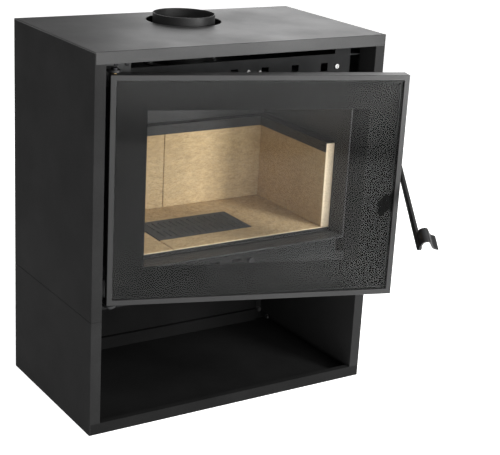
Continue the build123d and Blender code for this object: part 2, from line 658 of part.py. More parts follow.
# Steel angles that cap the boards and hold them against the walls
with BuildPart() as brick_rails:
    rail_z0 = BRICK_TOP_Z - RAIL_DROP
    for sign in (-1, 1):
        cap = sorted((sign * (BRICK_X - RAIL), sign * BOX_X))
        drop = sorted((sign * (BRICK_X - RAIL), sign * BRICK_X))
        block(*cap, BRICK_FRONT_Y, BOX_BACK_Y, BRICK_TOP_Z, BRICK_TOP_Z + RAIL)
        block(*drop, BRICK_FRONT_Y, BRICK_BACK_Y, rail_z0, BRICK_TOP_Z)
    rear_x = BRICK_X - RAIL - RAIL_END_GAP
    block(-rear_x, rear_x, BRICK_BACK_Y - RAIL, BOX_BACK_Y, BRICK_TOP_Z, BRICK_TOP_Z + RAIL)
    block(-rear_x, rear_x, BRICK_BACK_Y - RAIL, BRICK_BACK_Y, rail_z0, BRICK_TOP_Z)
brick_rails.part.label = "brick_rails"
export_step(brick_rails.part, "parts/brick_rails.step")

# ---------------------------------------------------------------- baffle and air wash

with BuildPart() as baffle_supports:
    for sign in (-1, 1):
        leg = sorted((sign * BOX_X, sign * (BOX_X - SHEET)))
        shelf = sorted((sign * BOX_X, sign * (BOX_X - BAFFLE_ANGLE)))
        block(*leg, BAFFLE_FRONT_Y, BOX_BACK_Y, BAFFLE_Z - BAFFLE_ANGLE, BAFFLE_Z)
        block(*shelf, BAFFLE_FRONT_Y, BOX_BACK_Y, BAFFLE_Z - SHEET, BAFFLE_Z)
baffle_supports.part.label = "baffle_supports"
export_step(baffle_supports.part, "parts/baffle_supports.step")

with BuildPart() as baffle_plate:
    block(-BAFFLE_X, BAFFLE_X, BAFFLE_FRONT_Y, BOX_BACK_Y - BAFFLE_REAR_GAP, BAFFLE_Z, BAFFLE_Z + BAFFLE_T)
    chamfer(brick_edges(baffle_plate), BRICK_EDGE)
baffle_plate.part.label = "baffle_plate"
export_step(baffle_plate.part, "parts/baffle_plate.step")

# A trough under the roof that sends preheated air down behind the glass
with BuildPart() as air_wash_duct:
    block(-DUCT_X, DUCT_X, DUCT_Y[1] - DUCT_T, DUCT_Y[1], DUCT_Z0, BOX_ROOF_Z)
    block(-DUCT_X, DUCT_X, DUCT_Y[0], DUCT_Y[1] - DUCT_T, DUCT_Z0, DUCT_Z0 + DUCT_T)
air_wash_duct.part.label = "air_wash_duct"
export_step(air_wash_duct.part, "parts/air_wash_duct.step")

# ---------------------------------------------------------------- grate and ash

with BuildPart() as grate_frame:
    frame_outer = (-GRATE_X + LOOSE, GRATE_X - LOOSE, GRATE_Y0 + LOOSE, GRATE_Y1 - LOOSE)
    framed(Plane.XY.offset(BOX_FLOOR_Z), frame_outer, HATCH, GRATE_Z - LIFT_GAP - BOX_FLOOR_Z)
grate_frame.part.label = "grate_frame"
export_step(grate_frame.part, "parts/grate_frame.step")

with BuildPart() as grate:
    with BuildSketch(Plane.XY.offset(GRATE_Z)):
        with Locations((0, GRATE_MID_Y)):
            RectangleRounded(GRATE_W, GRATE_L, GRATE_R)
            with GridLocations(*GRATE_SLOT_PITCH, *GRATE_SLOTS):
                SlotOverall(*GRATE_SLOT, rotation=90, mode=Mode.SUBTRACT)
    extrude(amount=GRATE_T)
grate.part.label = "grate"
export_step(grate.part, "parts/grate.step")

ASH_INSIDE = grown(HATCH, ASH_BOX_ROOM[0])
ASH_OUTSIDE = grown(HATCH, ASH_BOX_ROOM[1])

# The ash box hangs under the hatch; a trough in front of it brings primary air from the slots
with BuildPart() as ash_box:
    framed(Plane.XY.offset(ASH_BOX_Z0), ASH_OUTSIDE, ASH_INSIDE, BOX_UNDER_Z - ASH_BOX_Z0)
    block(*ASH_INSIDE, ASH_BOX_Z0, ASH_BOX_Z0 + SHEET)
    trough_y = (PANEL_BACK_Y, ASH_OUTSIDE[2])
    block(-TROUGH_X, TROUGH_X, *trough_y, TROUGH_Z - TROUGH_T, TROUGH_Z)
    block(-TROUGH_X, TROUGH_T - TROUGH_X, *trough_y, TROUGH_Z, BOX_UNDER_Z)
    block(TROUGH_X - TROUGH_T, TROUGH_X, *trough_y, TROUGH_Z, BOX_UNDER_Z)
    way_in_y = (ASH_OUTSIDE[2] - OVERRUN, ASH_INSIDE[2] + OVERRUN)
    block(-TROUGH_DOOR_X, TROUGH_DOOR_X, *way_in_y, *TROUGH_DOOR_Z, mode=Mode.SUBTRACT)
ash_box.part.label = "ash_box"
export_step(ash_box.part, "parts/ash_box.step")

with BuildPart() as ash_pan:
    pan = grown(HATCH, -PAN_ROOM)
    pan_z0 = ASH_BOX_Z0 + SHEET + LIFT_GAP
    block(*pan, pan_z0, PAN_Z1)
    block(*grown(pan, -PAN_WALL), pan_z0 + PAN_WALL, PAN_Z1 + OVERRUN, mode=Mode.SUBTRACT)
ash_pan.part.label = "ash_pan"
export_step(ash_pan.part, "parts/ash_pan.step")

# ---------------------------------------------------------------- primary air slide

SLIDER_BACK_Y = PANEL_Y - SLIDER_GAP
SLIDER_FRONT_Y = SLIDER_BACK_Y - SHEET

with BuildPart() as air_slider:
    with BuildSketch(Plane.XZ.offset(-SLIDER_FRONT_Y)):
        with Locations((0, AIR_Z)):
            Rectangle(2 * SLIDER_X, SLIDER_H)
        with Locations(*[(x, AIR_Z) for x in AIR_SLOT_X]):
            Rectangle(AIR_SLOT_W, AIR_SLOT_H, mode=Mode.SUBTRACT)
    extrude(amount=-SHEET)
air_slider.part.label = "air_slider"
export_step(air_slider.part, "parts/air_slider.step")

with BuildPart() as air_knob:
    with BuildSketch(Plane.XZ.offset(-SLIDER_FRONT_Y)):
        with Locations((AIR_KNOB_X, AIR_Z)):
            Circle(KNOB_STEM_R)
    extrude(amount=KNOB_STEM_L)
    with BuildSketch(Plane.XZ.offset(-SLIDER_FRONT_Y + KNOB_STEM_L)):
        with Locations((AIR_KNOB_X, AIR_Z)):
            Circle(KNOB_R)
    extrude(amount=KNOB_L)
    fillet(air_knob.edges().filter_by(GeomType.CIRCLE).group_by(Axis.Y)[0], radius=KNOB_EDGE_R)
air_knob.part.label = "air_knob"
export_step(air_knob.part, "parts/air_knob.step")

with BuildPart() as air_guides:
    catch_y1 = SLIDER_FRONT_Y - GUIDE_PLAY
    for side in (-1, 1):
        near = AIR_Z + side * (SLIDER_H / 2 + GUIDE_PLAY)
        far = near + side * GUIDE_H
        catch = AIR_Z + side * (SLIDER_H / 2 - GUIDE_LAP)
        block(-GUIDE_X, GUIDE_X, catch_y1 - SHEET, PANEL_Y, *sorted((near, far)))
        block(-GUIDE_X, GUIDE_X, catch_y1 - SHEET, catch_y1, *sorted((catch, near)))
air_guides.part.label = "air_guides"
export_step(air_guides.part, "parts/air_guides.step")

# ---------------------------------------------------------------- hinges

def hinge_plate(ear_z, flange_z0, flange_z1, screws):
    """A hinge bracket: an ear with a round nose about the pin, on a flange against the panel."""
    with BuildSketch(Plane.XY.offset(ear_z)) as ear:
        with Locations((HINGE_X, HINGE_Y)):
            Circle(EAR_R)
        with Locations((HINGE_X, (HINGE_Y + PANEL_Y) / 2)):
            Rectangle(2 * EAR_R, PANEL_Y - HINGE_Y)
        with Locations((HINGE_X, HINGE_Y)):
            Circle(PIN_R + RUN, mode=Mode.SUBTRACT)
    extrude(ear.sketch, amount=EAR_T)
    block(-PANEL_X, HINGE_FLANGE_X, PANEL_Y - SHEET, PANEL_Y, flange_z0, flange_z1)
    with BuildSketch(Plane.XZ.offset(-PANEL_Y)) as holes:
        with Locations(*screws):
            Circle(SCREW_HOLE_R)
    extrude(holes.sketch, amount=SHEET, mode=Mode.SUBTRACT)


with BuildPart() as hinge_bracket_top:
    hinge_plate(TOP_EAR_Z, TOP_FLANGE_Z0, EAR_Z, TOP_HINGE_SCREWS)
hinge_bracket_top.part.label = "hinge_bracket_top"
export_step(hinge_bracket_top.part, "parts/hinge_bracket_top.step")

with BuildPart() as hinge_bracket_bottom:
    hinge_plate(LOW_EAR_Z, LOW_EAR_Z, LOW_FLANGE_Z1, LOW_HINGE_SCREWS)
hinge_bracket_bottom.part.label = "hinge_bracket_bottom"
export_step(hinge_bracket_bottom.part, "parts/hinge_bracket_bottom.step")

# The upper pin has its head on the bracket; the lower pin's shoulder carries the door
with BuildPart() as hinge_pins:
    axis = Plane(origin=(HINGE_X, HINGE_Y, 0))
    top_seat_z = TOP_EAR_Z + EAR_T
    low_seat_z = LOW_EAR_Z + EAR_T
    disc(axis.offset(TOP_PIN_Z0), PIN_R, top_seat_z - TOP_PIN_Z0)
    disc(axis.offset(top_seat_z), *PIN_HEAD)
    disc(axis.offset(LOW_EAR_Z - PIN_HEAD[1]), *PIN_HEAD)
    disc(axis.offset(LOW_EAR_Z), PIN_R, LOW_PIN_L)
    disc(axis.offset(low_seat_z), *LOW_SHOULDER)
hinge_pins.part.label = "hinge_pins"
export_step(hinge_pins.part, "parts/hinge_pins.step")

with BuildPart() as latch_keeper:
    with BuildSketch(Plane.XZ.offset(-PANEL_BACK_Y)):
        with Locations(((KEEPER[0] + KEEPER[1]) / 2, (KEEPER[2] + KEEPER[3]) / 2)):
            RectangleRounded(KEEPER[1] - KEEPER[0], KEEPER[3] - KEEPER[2], KEEPER_R)
    extrude(amount=-SHEET)
latch_keeper.part.label = "latch_keeper"
export_step(latch_keeper.part, "parts/latch_keeper.step")

# ---------------------------------------------------------------- door

with BuildPart(DOOR) as door_frame:
    block(0, DOOR_W, 0, DOOR_T, DOOR_Z0, DOOR_Z1)
    inside = (DOOR_Z0 + SHEET, DOOR_Z1 - SHEET)
    block(SHEET, DOOR_W - SHEET, SHEET, DOOR_T + OVERRUN, *inside, Mode.SUBTRACT)
    rim = grown(DOOR_OUTLINE, -DOOR_RIM)
    block(rim[0], rim[1], -OVERRUN, SHEET + OVERRUN, rim[2], rim[3], Mode.SUBTRACT)
    block(-OVERRUN, SHEET, HINGE_WALL_T, DOOR_T + OVERRUN, *inside, Mode.SUBTRACT)
    with Locations((HINGE_S, HINGE_D, DOOR_MID_Z)):
        Cylinder(BUSH_R + RUN, DOOR_Z1 - DOOR_Z0 + 2 * OVERRUN, mode=Mode.SUBTRACT)
    fillet(door_frame.edges().group_by(Axis(CORNER, INWARD))[0], radius=DOOR_EDGE_R)
door_frame.part.label = "door_frame"
export_step(door_frame.part, "parts/door_frame.step")

PANE = grown(DOOR_OUTLINE, -SHEET - GLASS_FIT)

with BuildPart(DOOR) as door_glass:
    block(PANE[0], PANE[1], GLASS_D, GLASS_D + GLASS_T, PANE[2], PANE[3])
door_glass.part.label = "door_glass"
export_step(door_glass.part, "parts/door_glass.step")

with BuildPart() as glass_border:
    framed(FACE.offset(-PRINT_D), PANE, WINDOW, -PRINT_T)
glass_border.part.label = "glass_border"
export_step(glass_border.part, "parts/glass_border.step")

with BuildPart() as glass_gasket:
    framed(FACE.offset(-TAPE_D), PANE, grown(PANE, -TAPE_W), -TAPE_T)
glass_gasket.part.label = "glass_gasket"
export_step(glass_gasket.part, "parts/glass_gasket.step")

# The rope lies on the line of the mouth's lip, between two ribs of the inner frame
LIP_LINE = (
    DOOR_W / 2 - BOX_X - LIP / 2,
    DOOR_W / 2 + BOX_X + LIP / 2,
    MOUTH_Z0 - LIP / 2,
    MOUTH_Z1 + LIP / 2,
)
ROPE_OUT = grown(LIP_LINE, ROPE_W / 2)
ROPE_IN = grown(LIP_LINE, -ROPE_W / 2)

with BuildPart() as door_inner_frame:
    framed(FACE.offset(-FRAME_D), PANE, FRAME_INSIDE, -SHEET)
    framed(FACE.offset(-ROPE_FROM_D), grown(ROPE_OUT, ROPE_RIB[0]), ROPE_OUT, -ROPE_RIB[1])
    framed(FACE.offset(-ROPE_FROM_D), ROPE_IN, grown(ROPE_IN, -ROPE_RIB[0]), -ROPE_RIB[1])
door_inner_frame.part.label = "door_inner_frame"
export_step(door_inner_frame.part, "parts/door_inner_frame.step")

with BuildPart() as rope_gasket:
    framed(FACE.offset(-ROPE_FROM_D), ROPE_OUT, ROPE_IN, -ROPE_D)
    fillet(rope_gasket.faces().sort_by(Axis(CORNER, INWARD))[-1].edges(), radius=ROPE_R)
rope_gasket.part.label = "rope_gasket"
export_step(rope_gasket.part, "parts/rope_gasket.step")

# Clips welded inside the door's walls, which hold the inner frame on the glass
with BuildPart(DOOR) as frame_clips:
    toe_d = (ROPE_FROM_D, ROPE_FROM_D + CLIP_T)
    for clip_z in CLIP_Z:
        clip = (clip_z - CLIP_HALF, clip_z + CLIP_HALF)
        for wall, way in ((SHEET, 1), (DOOR_W - SHEET, -1)):
            block(*sorted((wall, wall + way * CLIP_T)), ROPE_FROM_D, HINGE_WALL_T - CLIP_T, *clip)
            block(*sorted((wall, wall + way * CLIP_TOE)), *toe_d, *clip)
    for clip_s in CLIP_S:
        clip = (clip_s - CLIP_HALF, clip_s + CLIP_HALF)
        for wall, way in ((DOOR_Z0 + SHEET, 1), (DOOR_Z1 - SHEET, -1)):
            block(*clip, ROPE_FROM_D, HINGE_WALL_T + CLIP_T, *sorted((wall, wall + way * CLIP_T)))
            block(*clip, *toe_d, *sorted((wall, wall + way * CLIP_LONG_TOE)))
frame_clips.part.label = "frame_clips"
export_step(frame_clips.part, "parts/frame_clips.step")

with BuildPart(DOOR) as hinge_bushes:
    for body_z0, body_z1, flange_z0 in (
        (DOOR_Z0 - BUSH_PROUD, DOOR_Z0 + SHEET, DOOR_Z0 + SHEET),
        (DOOR_Z1 - SHEET, DOOR_Z1 + BUSH_PROUD, DOOR_Z1 - 2 * SHEET),
    ):
        with Locations((HINGE_S, HINGE_D, (body_z0 + body_z1) / 2)):
            Cylinder(BUSH_R, body_z1 - body_z0)
        with Locations((HINGE_S, HINGE_D, flange_z0 + SHEET / 2)):
            Cylinder(FLANGE_R, SHEET)
    with Locations((HINGE_S, HINGE_D, DOOR_MID_Z)):
        Cylinder(PIN_R + RUN, DOOR_Z1 - DOOR_Z0 + 4 * OVERRUN, mode=Mode.SUBTRACT)
hinge_bushes.part.label = "hinge_bushes"
export_step(hinge_bushes.part, "parts/hinge_bushes.step")

# A plate inside the latch-side wall reaches back to a boss for the lever's shaft
with BuildPart() as latch_bracket:
    plate_d0 = ROPE_FROM_D + PLATE_FROM
    with BuildSketch(Plane(origin=CORNER + ALONG * (DOOR_W - 2 * SHEET), x_dir=INWARD, z_dir=ALONG)) as plate:
        with Locations(((plate_d0 + PIVOT_D) / 2, PIVOT_Z)):
            Rectangle(PIVOT_D - plate_d0, 2 * LATCH_EYE_R)
        with Locations((PIVOT_D, PIVOT_Z)):
            Circle(LATCH_EYE_R)
    extrude(plate.sketch, amount=SHEET)
    upright = Plane(origin=PIVOT, x_dir=INWARD, z_dir=ALONG)
    disc(upright.offset(DOOR_W - BOSS_L), BOSS_R, BOSS_L)
    disc(upright.offset(DOOR_W - BOSS_L - OVERRUN), SHAFT_R + RUN, BOSS_L + 2 * OVERRUN, mode=Mode.SUBTRACT)
latch_bracket.part.label = "latch_bracket"
export_step(latch_bracket.part, "parts/latch_bracket.step")

# ---------------------------------------------------------------- lever and latch

with BuildPart() as latch_shaft:
    disc(lever_plane(SHAFT_FROM_S), SHAFT_R, LEVER_S + LEVER_T - SHAFT_FROM_S)
    disc(lever_plane(LEVER_S + LEVER_T), *SHAFT_HEAD)
    fillet(latch_shaft.edges().sort_by(Axis(PIVOT, ALONG))[-1], radius=EDGE_R)
latch_shaft.part.label = "latch_shaft"
export_step(latch_shaft.part, "parts/latch_shaft.step")

with BuildPart() as shaft_nut:
    with BuildSketch(lever_plane(SHAFT_FROM_S)):
        RegularPolygon(NUT_R, 6)
        Circle(SHAFT_R + RUN, mode=Mode.SUBTRACT)
    extrude(amount=NUT_T)
shaft_nut.part.label = "shaft_nut"
export_step(shaft_nut.part, "parts/shaft_nut.step")

# The hook points straight inwards when the lever is at its latched angle
with BuildPart() as latch_hook:
    with BuildSketch(Plane(origin=PIVOT + ALONG * HOOK_S, x_dir=HOOK_IN, z_dir=ALONG)):
        Circle(HOOK_HUB_R)
        with BuildLine():
            Polyline(*HOOK_SHAPE, close=True)
        make_face()
        Circle(SHAFT_R + RUN, mode=Mode.SUBTRACT)
    extrude(amount=HOOK_T)
latch_hook.part.label = "latch_hook"
export_step(latch_hook.part, "parts/latch_hook.step")

# A flat bar, wider towards its rounded tip; its grip is a sheet rolled over like a breaking wave
with BuildPart() as handle_lever:
    tip = (0, -LEVER_L + TIP_R)
    with BuildSketch(lever_plane(LEVER_S)):
        with BuildLine():
            Polyline((-LEVER_TOP, 0), (LEVER_TOP, 0), (TIP_R, tip[1]), (-TIP_R, tip[1]), close=True)
        make_face()
        Circle(LEVER_HUB_R)
        with Locations(tip):
            Circle(TIP_R)
        Circle(SHAFT_R + RUN, mode=Mode.SUBTRACT)
    extrude(amount=LEVER_T)
    grip_origin = PIVOT + ALONG * (LEVER_S + LEVER_T / 2) - LEVER_UP * (LEVER_L - GRIP_END)
    with BuildSketch(Plane(origin=grip_origin, x_dir=ALONG, z_dir=LEVER_UP)):
        with BuildLine():
            rise = Line((0, -GRIP_FOOT), (0, -GRIP_RISE))
            crest = JernArc(rise @ 1, rise % 1, CREST_R, CREST_TURN)
            fall = Line(crest @ 1, crest @ 1 + (crest % 1) * GRIP_FALL)
            sweep_out = JernArc(fall @ 1, fall % 1, SWEEP_R, SWEEP_TURN)
            Line(sweep_out @ 1, sweep_out @ 1 + (sweep_out % 1) * GRIP_TAIL)
            offset(amount=GRIP_T / 2, side=Side.BOTH)
        make_face()
    extrude(amount=GRIP_H)
handle_lever.part.label = "handle_lever"
export_step(handle_lever.part, "parts/handle_lever.step")
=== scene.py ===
import bpy
import json
from math import cos, pi, radians, sin
from mathutils import Matrix, Vector


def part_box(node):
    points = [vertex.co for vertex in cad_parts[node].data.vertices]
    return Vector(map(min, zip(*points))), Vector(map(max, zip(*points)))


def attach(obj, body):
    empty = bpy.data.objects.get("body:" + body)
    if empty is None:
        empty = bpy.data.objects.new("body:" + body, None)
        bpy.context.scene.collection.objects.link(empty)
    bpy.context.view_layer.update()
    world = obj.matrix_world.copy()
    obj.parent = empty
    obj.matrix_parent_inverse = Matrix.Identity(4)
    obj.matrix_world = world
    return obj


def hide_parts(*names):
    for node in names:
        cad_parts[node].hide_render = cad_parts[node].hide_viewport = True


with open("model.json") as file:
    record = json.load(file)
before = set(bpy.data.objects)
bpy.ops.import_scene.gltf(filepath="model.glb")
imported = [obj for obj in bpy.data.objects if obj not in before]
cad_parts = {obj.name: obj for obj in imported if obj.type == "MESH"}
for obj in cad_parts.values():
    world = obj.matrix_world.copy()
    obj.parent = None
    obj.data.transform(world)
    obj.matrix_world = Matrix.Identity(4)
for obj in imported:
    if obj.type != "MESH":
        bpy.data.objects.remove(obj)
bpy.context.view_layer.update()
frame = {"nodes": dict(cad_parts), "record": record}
NODES = frame["nodes"]

MM = 0.001
DOOR_AJAR = radians(18)  # the door's opening at rest
ALONG = Vector((cos(DOOR_AJAR), -sin(DOOR_AJAR), 0))  # from the hinge along the door
INWARD = Vector((sin(DOOR_AJAR), cos(DOOR_AJAR), 0))  # from the door's face to its back
UP = Vector((0, 0, 1))
JOINTS = {joint["name"]: joint for joint in frame["record"]["behaviour"]["joints"]}


# ------------------------------------------------------------------ material tools
# Pattern scales are in features per metre, and relief depths are in millimetres.

def new_material(name, roughness, metallic=0.0, specular=0.5):
    """A Principled material with its constant values set on the shader's own sockets."""
    mat = bpy.data.materials.new(name)
    mat.use_nodes = True
    shader = mat.node_tree.nodes["Principled BSDF"]
    shader.inputs["Roughness"].default_value = roughness
    shader.inputs["Metallic"].default_value = metallic
    shader.inputs["Specular IOR Level"].default_value = specular
    return mat, shader


def link(mat, output, target):
    """Joins an output socket to an input socket."""
    mat.node_tree.links.new(output, target)


def coordinates(mat, stretch=(1, 1, 1)):
    """Object coordinates in metres, stretched where a grain runs one way."""
    place = mat.node_tree.nodes.new("ShaderNodeTexCoord")
    if stretch == (1, 1, 1):
        return place.outputs["Object"]
    mapping = mat.node_tree.nodes.new("ShaderNodeMapping")
    mapping.inputs["Scale"].default_value = stretch
    link(mat, place.outputs["Object"], mapping.inputs["Vector"])
    return mapping.outputs["Vector"]


def noise(mat, scale, detail=3.0, roughness=0.55, stretch=(1, 1, 1)):
    """A cloudy value from 0 to 1."""
    node = mat.node_tree.nodes.new("ShaderNodeTexNoise")
    node.inputs["Scale"].default_value = scale
    node.inputs["Detail"].default_value = detail
    node.inputs["Roughness"].default_value = roughness
    link(mat, coordinates(mat, stretch), node.inputs["Vector"])
    return node.outputs["Fac"]


def cells(mat, scale, output="Color", stretch=(1, 1, 1)):
    """A pattern of cells: a random colour for each, or the distance to its centre."""
    node = mat.node_tree.nodes.new("ShaderNodeTexVoronoi")
    node.inputs["Scale"].default_value = scale
    link(mat, coordinates(mat, stretch), node.inputs["Vector"])
    return node.outputs[output]


def ramp(mat, value, stops):
    """Colours at places along a value: stops is a list of (place, (r, g, b))."""
    node = mat.node_tree.nodes.new("ShaderNodeValToRGB")
    elements = node.color_ramp.elements
    while len(elements) < len(stops):
        elements.new(0.5)
    for element, (place, colour) in zip(elements, stops):
        element.position = place
        element.color = (*colour, 1)
    link(mat, value, node.inputs["Fac"])
    return node.outputs["Color"]


def spread(mat, value, low, high, start=0.3, end=0.7):
    """A value mapped onto a working range."""
    node = mat.node_tree.nodes.new("ShaderNodeMapRange")
    node.inputs["From Min"].default_value = start
    node.inputs["From Max"].default_value = end
    node.inputs["To Min"].default_value = low
    node.inputs["To Max"].default_value = high
    link(mat, value, node.inputs["Value"])
    return node.outputs["Result"]


MIX_SHARE, MIX_FIRST, MIX_SECOND, MIX_RESULT = 0, 6, 7, 2  # the Mix node's sockets for colours


def blend_colours(mat, share, first, second, mode="MIX"):
    """Two colours mixed; share is a number or a socket."""
    node = mat.node_tree.nodes.new("ShaderNodeMix")
    node.data_type = "RGBA"
    node.blend_type = mode
    for place, value in ((MIX_SHARE, share), (MIX_FIRST, first), (MIX_SECOND, second)):
        if isinstance(value, bpy.types.NodeSocket):
            link(mat, value, node.inputs[place])
        else:
            node.inputs[place].default_value = value
    return node.outputs[MIX_RESULT]


def bump(mat, shader, height, depth_mm, strength=1.0):
    """Adds relief of a real depth, on top of any that the shader already has."""
    node = mat.node_tree.nodes.new("ShaderNodeBump")
    node.inputs["Distance"].default_value = depth_mm * MM
    node.inputs["Strength"].default_value = strength
    link(mat, height, node.inputs["Height"])
    links = shader.inputs["Normal"].links
    if links:
        link(mat, links[0].from_socket, node.inputs["Normal"])
    link(mat, node.outputs["Normal"], shader.inputs["Normal"])


def grey(value, warmth=0.0):
    """A grey of a linear brightness, tinted warm, or cool where warmth is negative."""
    return (value * (1 + warmth), value, value * (1 - warmth))


# ------------------------------------------------------------------ materials

def stove_paint(name, level, roughness, specular, grain=0.05):
    """Sprayed heat-resistant paint: fine grain, soft mottling and faint wiped patches."""
    mat, shader = new_material(name, roughness, specular=specular)
    mottle = noise(mat, 9, detail=4)
    colour = ramp(mat, mottle, [(0.3, grey(level * 0.88)), (0.7, grey(level * 1.12))])
    speck = ramp(mat, noise(mat, 1500, detail=1), [(0.42, grey(0.82)), (0.62, grey(1.12))])
    link(mat, blend_colours(mat, 1.0, colour, speck, "MULTIPLY"), shader.inputs["Base Color"])
    wiped = noise(mat, 5, detail=5, roughness=0.6, stretch=(1, 1, 2.5))
    link(mat, spread(mat, wiped, roughness - 0.05, roughness + 0.06), shader.inputs["Roughness"])
    bump(mat, shader, noise(mat, 1100, detail=2), grain, 0.35)
    bump(mat, shader, noise(mat, 60, detail=2), 0.06, 0.15)
    return mat


def dark_steel(name, level, roughness, metallic, specular):
    """Plate steel darkened by heat: a slate tone with cloudy bluing and fine rolling marks."""
    mat, shader = new_material(name, roughness, metallic, specular)
    cloud = noise(mat, 14, detail=6, roughness=0.6)
    low, high = grey(level * 0.72, -0.03), grey(level * 1.3, -0.01)
    colour = ramp(mat, cloud, [(0.3, low), (0.55, grey(level, -0.02)), (0.75, high)])
    soot = noise(mat, 40, detail=5)
    sooted = blend_colours(mat, spread(mat, soot, 0.0, 0.3), colour, (*grey(level * 0.5), 1))
    link(mat, sooted, shader.inputs["Base Color"])
    rolled = noise(mat, 220, detail=3, stretch=(1, 1, 3))
    link(mat, spread(mat, rolled, roughness - 0.1, roughness + 0.1), shader.inputs["Roughness"])
    bump(mat, shader, rolled, 0.05, 0.3)
    return mat


FLAKE_LIE = (0.7, 0.7, 1.8)  # the flakes lie flat in the board, wider than they are high
PAINTED_LIGHT_DEPTH, PAINTED_LIGHT_FADE = 0.8 * MM, 0.4 * MM  # the boards' front end faces are painted paler, as painted light on their lit ends
BOARD_END_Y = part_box("brick_side_right")[0].y + PAINTED_LIGHT_DEPTH


def vermiculite(name):
    """Pressed mineral board: golden flakes of many tones with darker mica specks and small pits,
    and front end faces painted paler as painted light.
    """
    mat, shader = new_material(name, 0.9, specular=0.2)
    split = mat.node_tree.nodes.new("ShaderNodeSeparateColor")
    link(mat, cells(mat, 300, stretch=FLAKE_LIE), split.inputs["Color"])
    tan, pale, brown = (0.56, 0.42, 0.235), (0.68, 0.53, 0.33), (0.43, 0.30, 0.15)
    flakes = ramp(mat, split.outputs["Red"], [(0.0, brown), (0.25, tan), (0.75, tan), (1.0, pale)])
    fine = mat.node_tree.nodes.new("ShaderNodeSeparateColor")
    link(mat, cells(mat, 700, stretch=FLAKE_LIE), fine.inputs["Color"])
    chips = ramp(mat, fine.outputs["Green"], [(0.0, brown), (0.4, tan), (1.0, pale)])
    colour = blend_colours(mat, 0.45, flakes, chips)
    mica = ramp(mat, fine.outputs["Blue"], [(0.93, grey(1.0)), (0.95, (0.45, 0.38, 0.3))])
    colour = blend_colours(mat, 0.8, colour, mica, "MULTIPLY")
    patch = ramp(mat, noise(mat, 11, detail=4), [(0.3, (0.93, 0.91, 0.88)), (0.7, grey(1.03))])
    colour = blend_colours(mat, 1.0, colour, patch, "MULTIPLY")
    streaks = noise(mat, 95, detail=4, stretch=FLAKE_LIE)
    pressed = ramp(mat, streaks, [(0.32, grey(0.86)), (0.68, grey(1.06))])
    colour = blend_colours(mat, 1.0, colour, pressed, "MULTIPLY")
    along = mat.node_tree.nodes.new("ShaderNodeSeparateXYZ")
    link(mat, coordinates(mat), along.inputs["Vector"])
    # the front end faces fade to a paler colour: painted light standing in for the light that falls
    # on the lit ends
    painted_light_share = spread(mat, along.outputs["Y"], 1.0, 0.0, BOARD_END_Y, BOARD_END_Y + PAINTED_LIGHT_FADE)
    painted_end_light = ramp(mat, fine.outputs["Red"], [(0.0, (0.62, 0.5, 0.34)), (0.4, (0.84, 0.7, 0.5))])
    link(mat, blend_colours(mat, painted_light_share, colour, painted_end_light), shader.inputs["Base Color"])
    bump(mat, shader, cells(mat, 420, "Distance"), 0.25, 0.5)
    bump(mat, shader, noise(mat, 900, detail=3), 0.15, 0.5)
    return mat


def cast_iron(name):
    """Cast iron with a sand-rough, slightly blue skin."""
    mat, shader = new_material(name, 0.65, 0.1, specular=0.2)
    low, high = grey(0.022, -0.14), grey(0.04, -0.12)
    colour = ramp(mat, noise(mat, 70, detail=6), [(0.3, low), (0.7, high)])
    link(mat, colour, shader.inputs["Base Color"])
    bump(mat, shader, noise(mat, 700, detail=4), 0.3, 0.6)
    return mat


def plated(name, colour, roughness=0.3):
    """Bright plated or turned metal, with fine turning marks and a little tarnish."""
    mat, shader = new_material(name, roughness, 1.0)
    tarnish = noise(mat, 260, detail=4)
    dull = tuple(0.72 * part for part in colour)
    link(mat, ramp(mat, tarnish, [(0.35, dull), (0.65, colour)]), shader.inputs["Base Color"])
    link(mat, spread(mat, tarnish, roughness - 0.08, roughness + 0.12), shader.inputs["Roughness"])
    bump(mat, shader, noise(mat, 1600, detail=2), 0.01, 0.4)
    return mat


def brushed_sheet(name):
    """Galvanised sheet with spangle and brushing."""
    mat, shader = new_material(name, 0.4, 0.9)
    spangle = mat.node_tree.nodes.new("ShaderNodeSeparateColor")
    link(mat, cells(mat, 130), spangle.inputs["Color"])
    tone = ramp(mat, spangle.outputs["Red"], [(0.0, grey(0.34)), (1.0, grey(0.5, -0.02))])
    link(mat, tone, shader.inputs["Base Color"])
    link(mat, spread(mat, spangle.outputs["Green"], 0.3, 0.5, 0, 1), shader.inputs["Roughness"])
    bump(mat, shader, noise(mat, 500, stretch=(0.05, 1, 1)), 0.02, 0.4)
    return mat


def clear_glass(name):
    """Ceramic glass with a faint sheen, which lets the lamps' light through to the firebox."""
    mat, shader = new_material(name, 0.0)
    shader.inputs["Base Color"].default_value = (0.93, 0.935, 0.93, 1)
    shader.inputs["Transmission Weight"].default_value = 1.0
    shader.inputs["IOR"].default_value = 1.01
    shader.inputs["Coat Weight"].default_value = 1.0
    shader.inputs["Coat Roughness"].default_value = 0.04
    shader.inputs["Coat IOR"].default_value = 1.22
    nodes = mat.node_tree.nodes
    path = nodes.new("ShaderNodeLightPath")
    either = nodes.new("ShaderNodeMath")
    either.operation = "MAXIMUM"
    link(mat, path.outputs["Is Shadow Ray"], either.inputs[0])
    link(mat, path.outputs["Is Diffuse Ray"], either.inputs[1])
    through = nodes.new("ShaderNodeBsdfTransparent")
    through.inputs["Color"].default_value = (0.9, 0.905, 0.9, 1)
    mix = nodes.new("ShaderNodeMixShader")
    link(mat, either.outputs[0], mix.inputs[0])
    link(mat, shader.outputs[0], mix.inputs[1])
    link(mat, through.outputs[0], mix.inputs[2])
    link(mat, mix.outputs[0], nodes["Material Output"].inputs["Surface"])
    return mat


def enamel(name):
    """The glass's printed border: a smooth black ceramic print."""
    mat, shader = new_material(name, 0.5, specular=0.0)
    colour = ramp(mat, noise(mat, 25, detail=3), [(0.3, grey(0.008)), (0.7, grey(0.012))])
    link(mat, colour, shader.inputs["Base Color"])
    return mat


